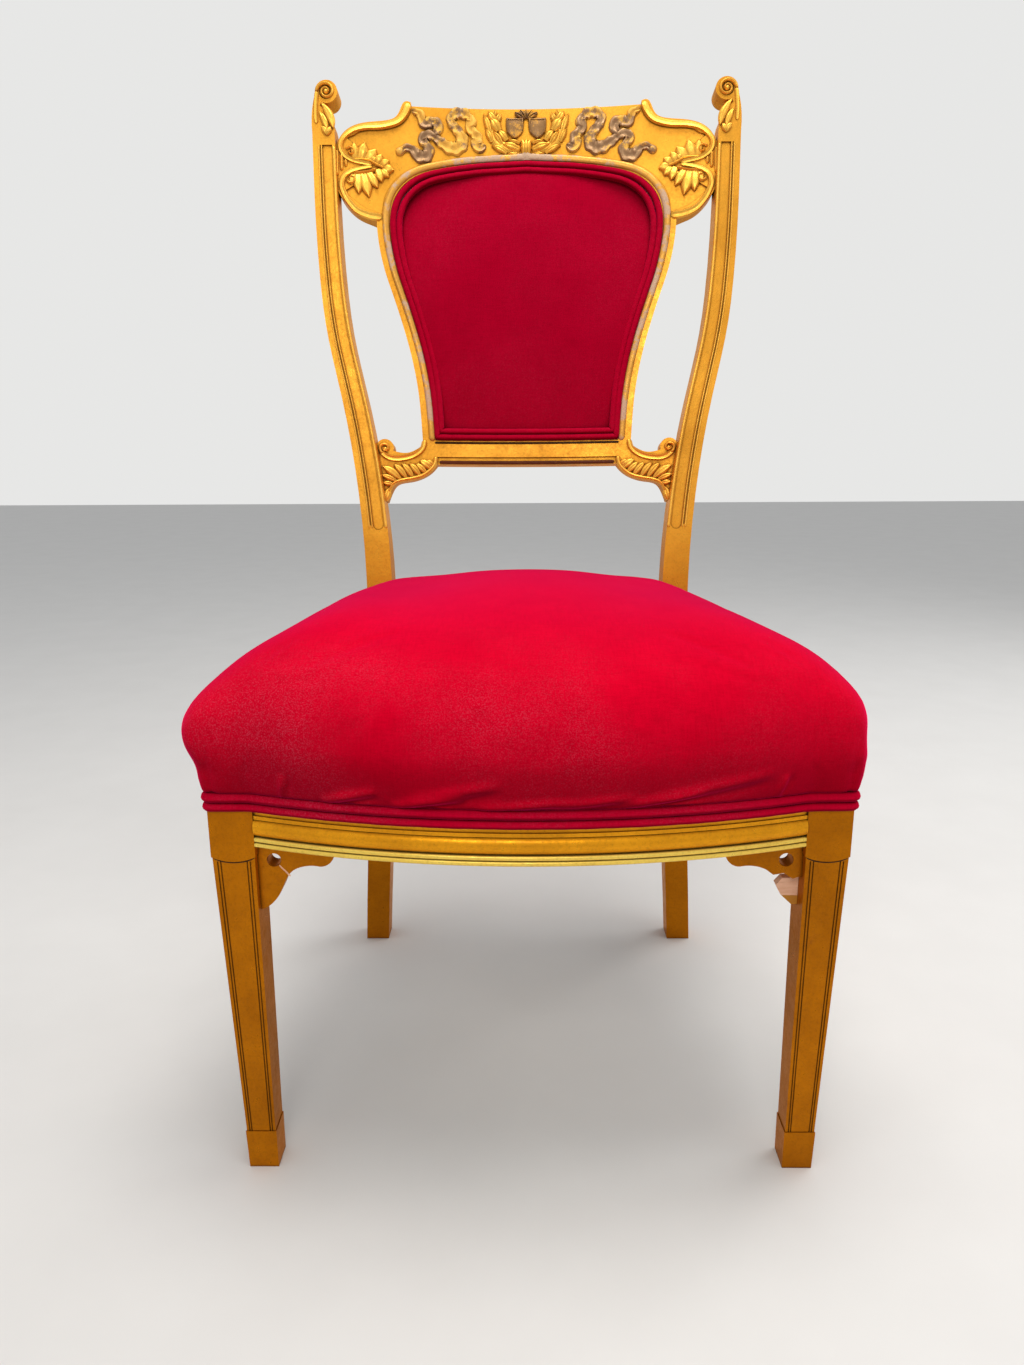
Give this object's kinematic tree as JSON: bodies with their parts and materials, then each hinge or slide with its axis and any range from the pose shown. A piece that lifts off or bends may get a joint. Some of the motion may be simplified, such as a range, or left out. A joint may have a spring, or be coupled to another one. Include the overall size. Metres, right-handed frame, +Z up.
{
  "type": "giltwood side chair",
  "caption": "Gilded wooden side chair with a bow-fronted sprung velvet seat, tapered square legs, scroll-topped back posts and a carved crest rail over a padded panel.",
  "frame": {"origin": "on the floor, under the middle of the chair's outer box", "axes": "+Z up, +X to the right of someone looking at the chair's front, +Y from the front of the seat to its back"},
  "size_m": [0.5324, 0.573, 0.9759],
  "materials": {
    "gilded_wood": "burnished gilding over bole, rubbed dark in the recesses",
    "gilded_ornament": "gilded carving and composition, worn on the high points",
    "worn_ornament": "gilding worn to brown bole",
    "bare_wood": "unfinished beech",
    "velvet": "crimson cut velvet",
    "velvet_welt": "crimson velvet double welt",
    "webbing": "jute webbing",
    "canvas": "jute canvas",
    "stuffing": "horsehair stuffing",
    "steel": "plain steel"
  },
  "bodies": {
    "root": {"front_leg_left": "gilded_wood", "front_leg_right": "gilded_wood", "back_post_left": "gilded_wood", "back_post_right": "gilded_wood", "side_seat_rail_left": "gilded_wood", "side_seat_rail_right": "gilded_wood", "front_seat_rail": "gilded_wood", "crest_rail": "gilded_wood", "back_stile_left": "gilded_wood", "back_stile_right": "gilded_wood", "lower_back_rail": "gilded_wood", "front_bracket_left": "gilded_wood", "front_bracket_right": "gilded_wood", "crest_ribbon_left": "gilded_ornament", "crest_ribbon_right": "gilded_ornament", "crest_palmette_left": "gilded_ornament", "crest_palmette_right": "gilded_ornament", "crest_wreath": "gilded_ornament", "crest_shields": "worn_ornament", "rear_seat_rail": "bare_wood", "front_corner_block_left": "bare_wood", "front_corner_block_right": "bare_wood", "rear_corner_block_left": "bare_wood", "rear_corner_block_right": "bare_wood", "front_bracket_right_stub": "bare_wood", "crest_dowels": "bare_wood", "lower_rail_dowels": "bare_wood", "stile_dowels": "bare_wood", "seat_cover": "velvet", "back_cover": "velvet", "outside_back_cover": "velvet", "seat_welt": "velvet_welt", "rear_seat_welt": "velvet_welt", "back_welt": "velvet_welt", "seat_webbing_lengthwise": "webbing", "seat_webbing_crosswise": "webbing", "back_webbing": "webbing", "spring_canvas": "canvas", "back_canvas": "canvas", "seat_stuffing": "stuffing", "back_stuffing": "stuffing", "seat_springs": "steel", "corner_block_screws": "steel", "webbing_tacks": "steel"}
  },
  "joints": []
}
